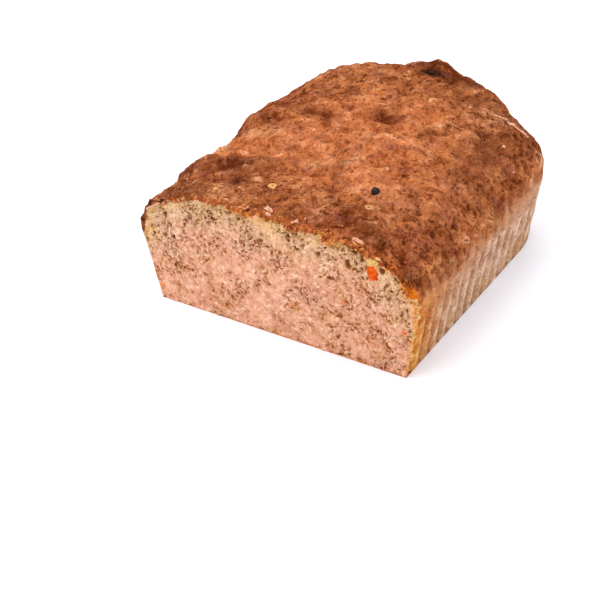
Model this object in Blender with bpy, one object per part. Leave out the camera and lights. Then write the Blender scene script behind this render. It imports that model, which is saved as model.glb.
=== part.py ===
"""A cut loaf of coarse meat pate, baked in a fluted tray.

The loaf stands on its flat underside with the cut facing -Y. Its side walls keep
the flutes of the tray and lean inwards towards the base. Above the rim of the tray
it has risen into a domed crust with humps, a fold and crags, and the knife has left
a grainy face. The origin is at the middle of the underside. All sizes are in metres.
"""

import math

import bmesh
import bpy
import numpy as np
from mathutils import Vector
from mathutils.bvhtree import BVHTree

# The tray's shape
LENGTH = 0.1255  # from the cut to the back, at the rim
RIM_WIDTH = 0.120
BASE_WIDTH = 0.1088
WALL_HEIGHT = 0.0294
RIM_CORNER = 0.0354  # how far each back corner reaches along X
BASE_CORNER = 0.0254
STRAIGHT_SIDE = 0.092  # length of each side wall before its corner begins

# The risen crust
DOME_HEIGHT = 0.0232
DOME_BACK_LEAN = 0.0044  # the dome's top edge lies this far in from the rim at the back
UNDERSIDE_INSET = 0.040  # the same for the middle line of the underside
DOME_FLATNESS = 3.24
DOME_ROUNDNESS = 2.13

# The flutes, each ridge convex and each groove sharp
FLUTE_PITCH = 0.0069
FLUTE_DEPTH = 0.0013
FLUTES_ROUND_CORNER = 7
FLUTES_ALONG_BACK = 8
FLUTE_START = 0.06  # share of a flute that the cut leaves out

# Relief: the distance between bumps, then their height
ROLL_SIZE, ROLL_HEIGHT = 0.022, 0.0013
CRAG_SIZE, CRAG_HEIGHT = 0.0065, 0.0014
WALL_GRAIN_SIZE, WALL_GRAIN_HEIGHT = 0.005, 0.0003
CRUMB_SIZE, CRUMB_HEIGHT = 0.0042, 0.0009

# Humps and dips of the crust: x and y of the middle, reach along x and y, height
HUMPS = (
    (-0.050, -0.057, 0.016, 0.006, 0.0004),
    (-0.050, -0.032, 0.020, 0.007, 0.0018),
    (-0.050, 0.008, 0.018, 0.010, 0.0032),
    (-0.036, 0.048, 0.012, 0.009, 0.0014),
    (0.000, 0.060, 0.010, 0.006, 0.0046),
    (0.042, 0.054, 0.010, 0.010, -0.0040),
    (0.020, -0.045, 0.018, 0.010, 0.0008),
)

# The fold that runs across the top, from the left shoulder to past the middle
FOLD_FROM, FOLD_TO = (-0.060, -0.023), (0.012, -0.012)
FOLD_WIDTH, FOLD_DEPTH = 0.005, 0.0017

# Bits that show on the crust: x, y and size
RINGS = ((-0.011, -0.0438, 0.0034), (0.0277, -0.0398, 0.0030), (0.0332, -0.0574, 0.0040))
PALE_BITS = (
    (-0.0032, -0.0582, 0.0028),
    (0.0080, -0.0568, 0.0034),
    (0.0111, 0.0394, 0.0046),
    (0.0470, 0.0350, 0.0034),
    (-0.0440, 0.0300, 0.0030),
    (-0.0200, 0.0100, 0.0026),
)
PEPPERCORNS = ((0.0248, -0.0299, 0.0042),)

# Dice of carrot that the knife went through: x and z on the cut, and size
CARROT_DICE = (
    (0.0428, 0.0420, 0.0046),
    (0.0541, 0.0197, 0.0018),
    (0.0284, 0.0241, 0.0017),
    (0.0060, 0.0157, 0.0016),
    (0.0070, 0.0488, 0.0018),
)

# How finely the surface is worked out before it is thinned
SIDE_STEPS, CORNER_STEPS, BACK_STEPS = 78, 44, 44
UNDERSIDE_STEPS, WALL_STEPS, SHOULDER_STEPS = 26, 14, 22
DOME_STEPS = SHOULDER_STEPS + UNDERSIDE_STEPS
KEPT_TRIANGLES = 8800

NODE = "pate_loaf"
CUT_Y = -LENGTH / 2


def ramp(value, low, high):
    """0 below low, 1 above high, and an S-shaped rise between them."""
    t = np.clip((value - low) / (high - low), 0.0, 1.0)
    return t * t * (3.0 - 2.0 * t)


def random_slope(cell, seed):
    """A random direction for each lattice cell, the same on every run."""
    key = cell[..., 0] * 73856093 ^ cell[..., 1] * 19349663 ^ cell[..., 2] * 83492791
    parts = []
    for axis in range(3):
        mixed = (key + (seed * 3 + axis) * 2654435761) & 0xFFFFFFFF
        mixed = ((mixed ^ (mixed >> 15)) * 2246822519) & 0xFFFFFFFF
        mixed = ((mixed ^ (mixed >> 13)) * 3266489917) & 0xFFFFFFFF
        parts.append((mixed ^ (mixed >> 16)) / 2147483648.0 - 1.0)
    return np.stack(parts, axis=-1)


def bumps(points, size, seed):
    """Smooth bumps of about -1 to 1: random slopes on a lattice, blended between its corners."""
    place = points / size
    cell = np.floor(place).astype(np.int64)
    inside = place - cell
    blend = inside**3 * (inside * (inside * 6.0 - 15.0) + 10.0)
    total = np.zeros(points.shape[:-1])
    for corner in np.ndindex(2, 2, 2):
        slope = random_slope(cell + corner, seed)
        weight = np.prod(np.where(corner, blend, 1.0 - blend), axis=-1)
        total += weight * np.sum(slope * (inside - corner), axis=-1)
    return total * 1.4


def ring_points(turn, half_width, back, corner, depth):
    """One U-shaped ring round the loaf, seen from above.

    turn runs 0 to 1 up the right side, 1 to 2 round a corner, 2 to 3 across the back,
    3 to 4 round the other corner and 4 to 5 down the left side. A corner is a quarter
    of an ellipse that reaches corner along X and depth along Y.
    """
    side, near, across, far, left = (np.clip(turn - k, 0.0, 1.0) for k in range(5))
    near, far = near * math.pi / 2, far * math.pi / 2
    x = half_width - corner * (1 - np.cos(near)) - 2 * (half_width - corner) * across
    y = CUT_Y + (back - depth) * (side - left) + depth * (np.sin(near) - 1 + np.cos(far))
    return x - corner * np.sin(far), y


def profile(step):
    """Half width, back, corner, corner depth and height of the ring at a step of the profile.

    step runs 0 to 1 along the underside from the middle, 1 to 2 up the wall, and 2 to 3
    over the dome, where the height is (1 - g^flatness)^(1/roundness) at a share g of the width.
    """
    under, wall, dome = (np.clip(step - k, 0.0, 1.0) for k in range(3))
    lean = (RIM_WIDTH - BASE_WIDTH) / 2
    share = np.cos(dome * math.pi / 2)
    shrink = np.where(step < 1, under, share)
    half_width = (BASE_WIDTH / 2 + lean * wall) * shrink
    corner = (BASE_CORNER + (RIM_CORNER - BASE_CORNER) * wall) * shrink
    depth = (LENGTH - lean - STRAIGHT_SIDE + lean * wall) * shrink
    inset = np.where(step < 1, UNDERSIDE_INSET, DOME_BACK_LEAN) * (1 - shrink)
    back = LENGTH - lean * (1 - wall) - inset
    rise = (1 - share**DOME_FLATNESS) ** (1 / DOME_ROUNDNESS)
    return half_width, back, corner, depth, WALL_HEIGHT * wall + DOME_HEIGHT * rise


def flute_grooves(turn):
    """0 along the top of each ridge and 1 in each groove: 1 - |cos(pi n)| for flute number n."""
    count = STRAIGHT_SIDE / FLUTE_PITCH
    weights = (count, FLUTES_ROUND_CORNER, FLUTES_ALONG_BACK, FLUTES_ROUND_CORNER, count)
    number = FLUTE_START + sum(w * np.clip(turn - k, 0.0, 1.0) for k, w in enumerate(weights))
    return 1 - np.abs(np.cos(math.pi * number)) ** 0.8


def outward(points):
    """The direction that faces out at each grid point, square to both ways the grid runs."""
    normals = np.cross(np.gradient(points, axis=1), np.gradient(points, axis=0))
    lengths = np.linalg.norm(normals, axis=-1, keepdims=True)
    normals = normals / np.maximum(lengths, 1e-12)
    normals[0], normals[-1] = (0, 0, -1), (0, 0, 1)
    return normals


def crust_relief(points, normals):
    """How far the crust stands out: humps, the fold, rolls and crags, in metres."""
    x, y = points[..., 0], points[..., 1]
    height = np.zeros(x.shape)
    for hump_x, hump_y, reach_x, reach_y, rise in HUMPS:
        height += rise * np.exp(-(((x - hump_x) / reach_x) ** 2) - ((y - hump_y) / reach_y) ** 2)
    along = np.clip((x - FOLD_FROM[0]) / (FOLD_TO[0] - FOLD_FROM[0]), 0.0, 1.4)
    fold_y = FOLD_FROM[1] + (FOLD_TO[1] - FOLD_FROM[1]) * along
    fade = 1 - ramp(along, 0.7, 1.3)
    height -= FOLD_DEPTH * fade * np.exp(-(((y - fold_y) / FOLD_WIDTH) ** 2))
    height += ROLL_HEIGHT * bumps(points, ROLL_SIZE, 3)
    crags = bumps(points, CRAG_SIZE, 5) + 0.5 * bumps(points, CRAG_SIZE / 2, 8)
    return height + CRAG_HEIGHT * crags


def skin_points():
    """The underside, wall and dome as one grid, from the middle of the base to the ridge line."""
    turn = np.concatenate(
        [
            start + np.arange(steps) / steps
            for start, steps in enumerate(
                (SIDE_STEPS, CORNER_STEPS, BACK_STEPS, CORNER_STEPS, SIDE_STEPS)
            )
        ]
        + [[5.0]]
    )
    step = np.concatenate(
        [
            start + np.arange(steps) / steps
            for start, steps in enumerate((UNDERSIDE_STEPS, WALL_STEPS, DOME_STEPS))
        ]
        + [[3.0]]
    )
    turn, step = np.meshgrid(turn, step)
    half_width, back, corner, depth, z = profile(step)
    x, y = ring_points(turn, half_width, back, corner, depth)
    points = np.stack([x, y, z], axis=-1)
    normals = outward(points)
    crust = ramp(z, WALL_HEIGHT * 0.75, WALL_HEIGHT * 1.35)
    walled = ramp(z, 0.0, WALL_HEIGHT * 0.1)
    out = crust * crust_relief(points, normals)
    out += walled * (1 - crust) * WALL_GRAIN_HEIGHT * bumps(points, WALL_GRAIN_SIZE, 7)
    out -= np.where(step >= 1, 1 - crust, 0) * FLUTE_DEPTH * flute_grooves(turn)
    shift = normals * out[..., None]
    shift[..., 1] *= ramp(y, CUT_Y, CUT_Y + 0.002)
    shift[..., 2] *= walled
    return points + shift


def cut_points(skin):
    """The cut as a grid stretched between its four edges, with the crumb standing out of it.

    Each point is the mean of the two straight blends between facing edges, less the blend
    of the four corners.
    """
    right, left = skin[:, 0], skin[:, -1]
    base, shoulder = UNDERSIDE_STEPS, UNDERSIDE_STEPS + WALL_STEPS + SHOULDER_STEPS
    bottom = np.concatenate([left[base:0:-1], right[: base + 1]])
    top = np.concatenate([left[shoulder:], right[shoulder:-1][::-1]])
    left, right = left[base : shoulder + 1], right[base : shoulder + 1]
    a = np.linspace(0, 1, len(bottom))[None, :, None]
    b = np.linspace(0, 1, len(left))[:, None, None]
    points = (1 - b) * bottom + b * top + (1 - a) * left[:, None] + a * right[:, None]
    points -= (1 - b) * ((1 - a) * bottom[0] + a * bottom[-1])
    points -= b * ((1 - a) * top[0] + a * top[-1])
    crumb = bumps(points, CRUMB_SIZE, 11) + 0.6 * bumps(points, CRUMB_SIZE / 2, 12)
    inside = np.minimum(np.minimum(a, 1 - a) * len(bottom), np.minimum(b, 1 - b) * len(left))
    points[..., 1] -= CRUMB_HEIGHT * crumb * np.clip(inside[..., 0] / 2, 0, 1)
    return points


def add_grid(mesh, points, material):
    """A grid primitive whose vertices are moved to the given points, joined to the mesh."""
    rows, columns = points.shape[:2]
    grid = bmesh.ops.create_grid(mesh, x_segments=columns - 1, y_segments=rows - 1, size=1.0)
    for vertex, place in zip(grid["verts"], points.reshape(-1, 3)):
        vertex.co = place
    for face in {face for vertex in grid["verts"] for face in vertex.link_faces}:
        face.material_index = material


def material(name, colour, roughness):
    """A plain finish: a Principled shader of one colour."""
    made = bpy.data.materials.new(name)
    made.use_nodes = True
    shader = made.node_tree.nodes["Principled BSDF"]
    shader.inputs["Base Color"].default_value = (*colour, 1.0)
    shader.inputs["Roughness"].default_value = roughness
    shader.inputs["Metallic"].default_value = 0.0
    return made


def loaf(collection):
    """The loaf itself: skin and cut welded into one closed body, then thinned where it is plain."""
    mesh = bmesh.new()
    skin = skin_points()
    add_grid(mesh, skin, 0)
    add_grid(mesh, cut_points(skin), 1)
    bmesh.ops.remove_doubles(mesh, verts=mesh.verts, dist=1e-6)
    bmesh.ops.dissolve_degenerate(mesh, edges=mesh.edges, dist=1e-6)
    bmesh.ops.triangulate(mesh, faces=mesh.faces)
    bmesh.ops.recalc_face_normals(mesh, faces=mesh.faces)
    triangles = len(mesh.faces)
    data = bpy.data.meshes.new(NODE)
    mesh.to_mesh(data)
    mesh.free()
    body = bpy.data.objects.new(NODE, data)
    collection.objects.link(body)
    thin = body.modifiers.new("thinned", "DECIMATE")
    thin.ratio = KEPT_TRIANGLES / triangles
    return body


def applied(body):
    """The same object with its modifiers made part of its mesh."""
    graph = bpy.context.evaluated_depsgraph_get()
    data = bpy.data.meshes.new_from_object(body.evaluated_get(graph))
    body.modifiers.clear()
    old, body.data = body.data, data
    bpy.data.meshes.remove(old)
    data.name = body.name
    return body


def level_underside(body):
    """Brings the vertices of the underside back to one level after the thinning."""
    for vertex in body.data.vertices:
        if vertex.co.z < 0.0003:
            vertex.co.z = 0.0


def place_bits(body, helpers):
    """Rings, pale bits and a peppercorn half sunk in the crust, and carrot dice in the cut."""
    surface = BVHTree.FromPolygons(
        [vertex.co for vertex in body.data.vertices],
        [polygon.vertices for polygon in body.data.polygons],
    )

    def stand(bit, x, y, sink):
        """Moves a bit onto the crust at x and y, turned to face the way the crust does."""
        place, normal = surface.ray_cast(Vector((x, y, 0.2)), Vector((0, 0, -1)))[:2]
        bit.rotation_euler = normal.to_track_quat("Z", "Y").to_euler()
        bit.location = place - normal * sink
        for owner in list(bit.users_collection):
            owner.objects.unlink(bit)
        helpers.objects.link(bit)

    for x, y, size in RINGS:
        bpy.ops.mesh.primitive_torus_add(
            major_segments=10, minor_segments=6, major_radius=size * 0.36, minor_radius=size * 0.15
        )
        stand(bpy.context.object, x, y, size * 0.02)
    for x, y, size in PALE_BITS:
        bpy.ops.mesh.primitive_ico_sphere_add(subdivisions=2, radius=size / 2)
        bpy.context.object.scale = (1.0, 0.6, 0.5)
        stand(bpy.context.object, x, y, size * 0.05)
    for x, y, size in PEPPERCORNS:
        bpy.ops.mesh.primitive_ico_sphere_add(subdivisions=2, radius=size / 2)
        stand(bpy.context.object, x, y, size * 0.2)
    for x, z, size in CARROT_DICE:
        bpy.ops.mesh.primitive_cube_add(size=size)
        dice = bpy.context.object
        dice.scale = (0.8, 1.0, 1.1)
        dice.rotation_euler = (0.2, 0.35, 0.1)
        place = surface.ray_cast(Vector((x, -0.2, z)), Vector((0, 1, 0)))[0]
        dice.location = place + Vector((0, size * 0.32, 0))
        for owner in list(dice.users_collection):
            owner.objects.unlink(dice)
        helpers.objects.link(dice)


def fuse(body, helpers):
    """One Boolean union of the loaf with all that is in the helper collection."""
    join = body.modifiers.new("bits", "BOOLEAN")
    join.operation = "UNION"
    join.operand_type = "COLLECTION"
    join.collection = helpers
    join.solver = "EXACT"
    applied(body)
    for bit in list(helpers.objects):
        bpy.data.objects.remove(bit)
    bpy.data.collections.remove(helpers)


def main():
    for old in list(bpy.data.objects):
        bpy.data.objects.remove(old)
    collection = bpy.data.collections.new("meat_pate")
    helpers = bpy.data.collections.new("bits")
    for made in (collection, helpers):
        bpy.context.scene.collection.children.link(made)
    body = applied(loaf(collection))
    level_underside(body)
    body.data.materials.append(material("crust", (0.33, 0.13, 0.05), 0.8))
    body.data.materials.append(material("crumb", (0.62, 0.38, 0.27), 0.7))
    place_bits(body, helpers)
    fuse(body, helpers)
    body.data.shade_smooth()
    body.data.set_sharp_from_angle(angle=math.radians(50))


main()
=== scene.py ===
# %% [markdown]
# # A cut loaf of coarse meat pate
#
# Minced meat was pressed into a fluted tray and baked until it rose out of it. The tray left
# ridges and grooves on the side walls, the oven left a craggy brown crust on the part that rose,
# and a knife has opened one end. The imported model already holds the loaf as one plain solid.
# This lesson dresses that solid: it repeats its formulas on a much finer grid, adds the small
# relief that a pate has, and gives each surface a finish worked out by shader nodes.

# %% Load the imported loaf
import math

import bpy
import numpy as np
from mathutils import Matrix, Vector


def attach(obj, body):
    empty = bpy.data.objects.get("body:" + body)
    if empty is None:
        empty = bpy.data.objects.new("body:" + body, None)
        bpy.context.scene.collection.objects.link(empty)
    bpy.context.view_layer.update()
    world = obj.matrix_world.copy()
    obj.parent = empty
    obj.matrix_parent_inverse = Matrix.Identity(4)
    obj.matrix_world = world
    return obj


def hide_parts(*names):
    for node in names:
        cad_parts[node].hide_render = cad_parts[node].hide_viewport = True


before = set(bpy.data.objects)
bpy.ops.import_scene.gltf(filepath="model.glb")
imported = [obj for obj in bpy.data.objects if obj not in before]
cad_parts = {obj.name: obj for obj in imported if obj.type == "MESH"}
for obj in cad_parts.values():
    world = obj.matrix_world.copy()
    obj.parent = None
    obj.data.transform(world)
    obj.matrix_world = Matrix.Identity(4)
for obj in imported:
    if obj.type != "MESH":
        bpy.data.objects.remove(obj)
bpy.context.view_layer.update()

# %% [markdown]
# ## The camera
#
# A long lens stands about 57 cm from the loaf, to the right of the cut and well above it, and it
# is tilted a little to one side. The direction of view, the side of the picture and its top are
# three unit vectors, square to each other, and they are the columns of the camera's matrix.

# %% Place the camera
CAMERA_PLACE = Vector((0.2872, -0.4571, 0.3645))
CAMERA_TARGET = Vector((0.01872, -0.07425, 0.030))
CAMERA_ROLL = math.radians(-4.39)
LENS_LENGTH, SENSOR_WIDTH, NEAREST = 97.66, 36.0, 0.01

view = (CAMERA_TARGET - CAMERA_PLACE).normalized()
level_side = view.cross(Vector((0, 0, 1))).normalized()
level_top = level_side.cross(view)
side = math.cos(CAMERA_ROLL) * level_side + math.sin(CAMERA_ROLL) * level_top
top = math.cos(CAMERA_ROLL) * level_top - math.sin(CAMERA_ROLL) * level_side

lens = bpy.data.cameras.new("camera")
lens.sensor_width = SENSOR_WIDTH
lens.lens = LENS_LENGTH
lens.clip_start = NEAREST
camera = bpy.data.objects.new("camera", lens)
bpy.context.scene.collection.objects.link(camera)
turned = Matrix((side, top, -view)).transposed().to_4x4()
camera.matrix_world = Matrix.Translation(CAMERA_PLACE) @ turned
bpy.context.scene.camera = camera
print("the camera stands", round((CAMERA_TARGET - CAMERA_PLACE).length, 3), "m from its target")

# %% [markdown]
# ## Bumps and spots from numbers
#
# Baked mince is rough at every size. *Bumps* blend random slopes between the corners of a
# lattice, which gives soft hills and hollows. They take whole arrays, and they give the same
# numbers on every run, because the lattice cell itself is the seed. Points may *wander* before
# they are measured, which makes an edge ragged. *Spots* are soft marks in known places. Their
# tables are in millimetres, and MM turns those into metres, which is what the scene counts in.

# %% Ramps and bumps
MM = 0.001
LATTICE_PRIMES = (73856093, 19349663, 83492791)
SEED_PRIME, FIRST_MIXER, SECOND_MIXER = 2654435761, 2246822519, 3266489917
LOW_BITS, HALF_RANGE = 0xFFFFFFFF, 2147483648.0
BUMP_GAIN = 1.4


def ramp(value, low, high):
    """0 below low, 1 above high, and an S-shaped rise between them."""
    t = np.clip((value - low) / (high - low), 0.0, 1.0)
    return t * t * (3.0 - 2.0 * t)


def drop(value, low, high):
    """A ramp turned over: 1 below low and 0 above high."""
    return 1 - ramp(value, low, high)


def held(value):
    """The value, held between 0 and 1."""
    return np.clip(value, 0, 1)


def random_slope(cell, seed):
    """A random direction for each lattice cell, the same on every run."""
    a, b, c = (cell[..., axis] * prime for axis, prime in enumerate(LATTICE_PRIMES))
    key = a ^ b ^ c
    parts = []
    for axis in range(3):
        mixed = (key + (seed * 3 + axis) * SEED_PRIME) & LOW_BITS
        mixed = ((mixed ^ (mixed >> 15)) * FIRST_MIXER) & LOW_BITS
        mixed = ((mixed ^ (mixed >> 13)) * SECOND_MIXER) & LOW_BITS
        parts.append((mixed ^ (mixed >> 16)) / HALF_RANGE - 1.0)
    return np.stack(parts, axis=-1)


def bumps(points, size, seed):
    """Smooth bumps of about -1 to 1: random slopes on a lattice, blended between its corners."""
    place = points / size
    cell = np.floor(place).astype(np.int64)
    inside = place - cell
    blend = inside**3 * (inside * (inside * 6.0 - 15.0) + 10.0)
    total = np.zeros(points.shape[:-1])
    for corner in np.ndindex(2, 2, 2):
        slope = random_slope(cell + corner, seed)
        weight = np.prod(np.where(corner, blend, 1.0 - blend), axis=-1)
        total += weight * np.sum(slope * (inside - corner), axis=-1)
    return total * BUMP_GAIN


trial = bumps(np.random.default_rng(1).random((2000, 3)), 0.1, 1)
print("bumps run from", trial.min().round(2), "to", trial.max().round(2))

# %% Wandering points and soft spots
ABOVE, AHEAD, ASIDE = [0, 1], [0, 2], [1, 2]


def wandering(points, size, reach, seed):
    """The points, each moved by up to about reach by three sets of bumps."""
    moved = [bumps(points, size, seed + k) for k in range(3)]
    return points + reach * np.stack(moved, axis=-1)


def spots(points, seen, places):
    """Soft spots: strength * exp(-(da/reach_a)^2 - (db/reach_b)^2), summed over the places.

    seen names the two axes, a and b, that the places are measured along: from above, from
    ahead or from the side. Places and reaches are in millimetres.
    """
    a, b = (points[..., axis] / MM for axis in seen)
    total = np.zeros(a.shape)
    for middle_a, middle_b, reach_a, reach_b, strength in places:
        far = ((a - middle_a) / reach_a) ** 2 + ((b - middle_b) / reach_b) ** 2
        total += strength * np.exp(-far)
    return total


# %% [markdown]
# ## From a grid of points to a mesh
#
# Every new piece is one or more grids: a point for each pair of parameters. Neighbouring points
# make two triangles, points that fall in the same place are welded, and triangles that have lost
# a corner are dropped. Numbers worked out for each point, such as how deep a pit is, go along as
# attributes, so that the material can read them.

# %% Triangles
def grid_triangles(rows, columns):
    """Two triangles for each square of a grid whose points are numbered row by row."""
    corner = np.arange(rows - 1)[:, None] * columns + np.arange(columns - 1)
    corner = corner.reshape(-1)
    first = np.stack([corner, corner + 1, corner + columns + 1], axis=-1)
    other = np.stack([corner, corner + columns + 1, corner + columns], axis=-1)
    return np.concatenate([first, other])


def fan_triangles(ring, middle):
    """Triangles from each step of a closed ring of point numbers to one middle point."""
    return np.stack([ring, np.roll(ring, -1), np.full(len(ring), middle)], axis=-1)


def strip_triangles(ring, other):
    """Two triangles for each step between two closed rings of point numbers."""
    after, other_after = np.roll(ring, -1), np.roll(other, -1)
    first = np.stack([ring, after, other_after], axis=-1)
    second = np.stack([ring, other_after, other], axis=-1)
    return np.concatenate([first, second])


# %% Making a piece
def volume(points, triangles):
    """The sum of a . (b x c) / 6 over the triangles: positive where the faces point out."""
    a, b, c = (points[triangles[:, k]] for k in range(3))
    return float(np.sum(a * np.cross(b, c)) / 6.0)


def make_piece(name, points, triangles, attributes):
    """Welds equal points, drops flat triangles, turns the faces outwards and makes the object."""
    points = points.reshape(-1, 3)
    _, first, index = np.unique(
        np.round(points, 7), axis=0, return_index=True, return_inverse=True
    )
    triangles = index.reshape(-1)[triangles]
    a, b, c = triangles.T
    triangles = triangles[(a != b) & (b != c) & (a != c)]
    points = points[first]
    if volume(points, triangles) < 0:
        triangles = triangles[:, ::-1]
    mesh = bpy.data.meshes.new(name)
    mesh.vertices.add(len(points))
    mesh.vertices.foreach_set("co", points.astype(np.float32).reshape(-1))
    mesh.loops.add(triangles.size)
    mesh.loops.foreach_set("vertex_index", triangles.astype(np.int32).reshape(-1))
    mesh.polygons.add(len(triangles))
    mesh.polygons.foreach_set("loop_start", np.arange(0, triangles.size, 3, dtype=np.int32))
    mesh.update(calc_edges=True)
    mesh.shade_smooth()
    for key, values in attributes.items():
        layer = mesh.attributes.new(key, "FLOAT", "POINT")
        layer.data.foreach_set("value", values.reshape(-1)[first].astype(np.float32))
    piece = bpy.data.objects.new(name, mesh)
    bpy.context.scene.collection.objects.link(piece)
    print(name, len(points), "points", len(triangles), "triangles")
    return piece


# %% [markdown]
# ## The form of the loaf
#
# Seen from above, every level of the loaf is a U: up the right side, round the back and down the
# left side, open at the cut. The first parameter, *turn*, runs round that U. The second, *step*,
# runs along the underside, up the wall and over the dome. These are the sizes and formulas of the
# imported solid, so the fine surface lies on it and no piece has to be fitted.

# %% Sizes of the tray and the dome
LENGTH = 0.1255
RIM_WIDTH, BASE_WIDTH = 0.120, 0.1088
WALL_HEIGHT = 0.0294
RIM_CORNER, BASE_CORNER = 0.0354, 0.0254
STRAIGHT_SIDE = 0.092
DOME_HEIGHT = 0.0232
DOME_BACK_LEAN, UNDERSIDE_INSET = 0.0044, 0.040
DOME_FLATNESS, DOME_ROUNDNESS = 3.24, 2.13
FLUTE_PITCH, FLUTE_DEPTH, FLUTE_SHARPNESS = 0.0069, 0.0013, 0.8
FLUTES_ROUND_CORNER, FLUTES_ALONG_BACK = 7, 8
FLUTE_START = 0.06
CUT_Y = -LENGTH / 2

# %% The U-shaped rings
def ring_points(turn, half_width, back, corner, depth):
    """One U-shaped ring round the loaf, seen from above.

    turn runs 0 to 1 up the right side, 1 to 2 round a corner, 2 to 3 across the back,
    3 to 4 round the other corner and 4 to 5 down the left side. A corner is a quarter
    of an ellipse that reaches corner along X and depth along Y.
    """
    side, near, across, far, left = (np.clip(turn - k, 0.0, 1.0) for k in range(5))
    near, far = near * math.pi / 2, far * math.pi / 2
    x = half_width - corner * (1 - np.cos(near)) - 2 * (half_width - corner) * across
    y = CUT_Y + (back - depth) * (side - left) + depth * (np.sin(near) - 1 + np.cos(far))
    return x - corner * np.sin(far), y


def profile(step):
    """Half width, back, corner, corner depth and height of the ring at a step of the profile.

    step runs 0 to 1 along the underside from the middle, 1 to 2 up the wall, and 2 to 3
    over the dome, where the height is (1 - g^flatness)^(1/roundness) at a share g of the width.
    """
    under, wall, dome = (np.clip(step - k, 0.0, 1.0) for k in range(3))
    lean = (RIM_WIDTH - BASE_WIDTH) / 2
    share = np.cos(dome * math.pi / 2)
    shrink = np.where(step < 1, under, share)
    half_width = (BASE_WIDTH / 2 + lean * wall) * shrink
    corner = (BASE_CORNER + (RIM_CORNER - BASE_CORNER) * wall) * shrink
    depth = (LENGTH - lean - STRAIGHT_SIDE + lean * wall) * shrink
    inset = np.where(step < 1, UNDERSIDE_INSET, DOME_BACK_LEAN) * (1 - shrink)
    back = LENGTH - lean * (1 - wall) - inset
    rise = (1 - share**DOME_FLATNESS) ** (1 / DOME_ROUNDNESS)
    return half_width, back, corner, depth, WALL_HEIGHT * wall + DOME_HEIGHT * rise


def flute_grooves(turn):
    """0 on top of each ridge and 1 in each groove: 1 - |cos(pi n)|^sharpness for flute n."""
    count = STRAIGHT_SIDE / FLUTE_PITCH
    weights = (count, FLUTES_ROUND_CORNER, FLUTES_ALONG_BACK, FLUTES_ROUND_CORNER, count)
    number = FLUTE_START + sum(w * np.clip(turn - k, 0.0, 1.0) for k, w in enumerate(weights))
    return 1 - np.abs(np.cos(math.pi * number)) ** FLUTE_SHARPNESS


# %% Which way the surface faces
def outward(points):
    """The direction that faces out at each grid point, square to both ways the grid runs."""
    normals = np.cross(np.gradient(points, axis=1), np.gradient(points, axis=0))
    lengths = np.linalg.norm(normals, axis=-1, keepdims=True)
    normals = normals / np.maximum(lengths, 1e-12)
    normals[0], normals[-1] = (0, 0, -1), (0, 0, 1)
    return normals


# %% A fine grid, evenly spaced along the profile
SIDE_STEPS, CORNER_STEPS, BACK_STEPS = 153, 90, 82
UNDERSIDE_STEPS, WALL_STEPS, DOME_STEPS = 3, 38, 117

stretches = (SIDE_STEPS, CORNER_STEPS, BACK_STEPS, CORNER_STEPS, SIDE_STEPS)
turn_values = [start + np.arange(steps) / steps for start, steps in enumerate(stretches)]
turn_values = np.concatenate(turn_values + [[5.0]])

dense = np.linspace(2.0, 3.0, 2000)
dense_width, _, _, _, dense_height = profile(dense)
along = np.hypot(np.diff(dense_width), np.diff(dense_height)).cumsum()
along = np.concatenate([[0.0], along]) / along[-1]
dome_values = np.interp(np.linspace(0, 1, DOME_STEPS + 1), along, dense)
under_values = np.arange(UNDERSIDE_STEPS) / UNDERSIDE_STEPS
wall_values = 1.0 + np.arange(WALL_STEPS) / WALL_STEPS
step_values = np.concatenate([under_values, wall_values, dome_values])

turn, step = np.meshgrid(turn_values, step_values)
half_width, back, corner, depth, level = profile(step)
flat_x, flat_y = ring_points(turn, half_width, back, corner, depth)
smooth_skin = np.stack([flat_x, flat_y, level], axis=-1)
facing = outward(smooth_skin)
print("the skin's grid has", smooth_skin.shape[0], "rows and", smooth_skin.shape[1], "columns")

# %% [markdown]
# ## The crust's relief
#
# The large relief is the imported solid's own: humps, one fold and two sizes of crag. Onto it come
# the things only the fine grid can hold: torn pits of one to four millimetres, thick at the right
# and the front, finer crags, and a few hollows and humps that this loaf has in known places, such
# as the burnt hole in the back rim. On the left a low ledge drops from the browned front end to
# the paler crust behind it. Heights in the tables of humps and hollows are in millimetres too.

# %% The large relief
ROLL_SIZE, ROLL_HEIGHT = 0.022, 0.0013
CRAG_SIZE, CRAG_HEIGHT = 0.0065, 0.0014
WALL_GRAIN_SIZE, WALL_GRAIN_HEIGHT = 0.005, 0.0003
HUMPS = (
    (-50, -57, 16, 6, 0.4), (-50, -32, 20, 7, 1.8), (-50, 8, 18, 10, 3.2), (-36, 48, 12, 9, 1.4),
    (0, 60, 10, 6, 4.6), (42, 54, 10, 10, -4), (20, -45, 18, 10, 0.8),
)
FOLD_FROM, FOLD_TO = (-0.060, -0.023), (0.012, -0.012)
FOLD_WIDTH, FOLD_DEPTH = 0.005, 0.0017


def crust_relief(points):
    """How far the crust stands out: humps, the fold, rolls and crags, in metres.

    The crags are calmer towards the back.
    """
    x, y = points[..., 0], points[..., 1]
    along = np.clip((x - FOLD_FROM[0]) / (FOLD_TO[0] - FOLD_FROM[0]), 0.0, 1.4)
    fold_y = FOLD_FROM[1] + (FOLD_TO[1] - FOLD_FROM[1]) * along
    fold = drop(along, 0.7, 1.3) * np.exp(-(((y - fold_y) / FOLD_WIDTH) ** 2))
    height = MM * spots(points, ABOVE, HUMPS) - FOLD_DEPTH * fold
    height += ROLL_HEIGHT * bumps(points, ROLL_SIZE, 3)
    crags = bumps(points, CRAG_SIZE, 5) + 0.5 * bumps(points, CRAG_SIZE / 2, 8)
    return height + CRAG_HEIGHT * crags * (1 - 0.45 * ramp(y, 0.030, 0.055))


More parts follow.
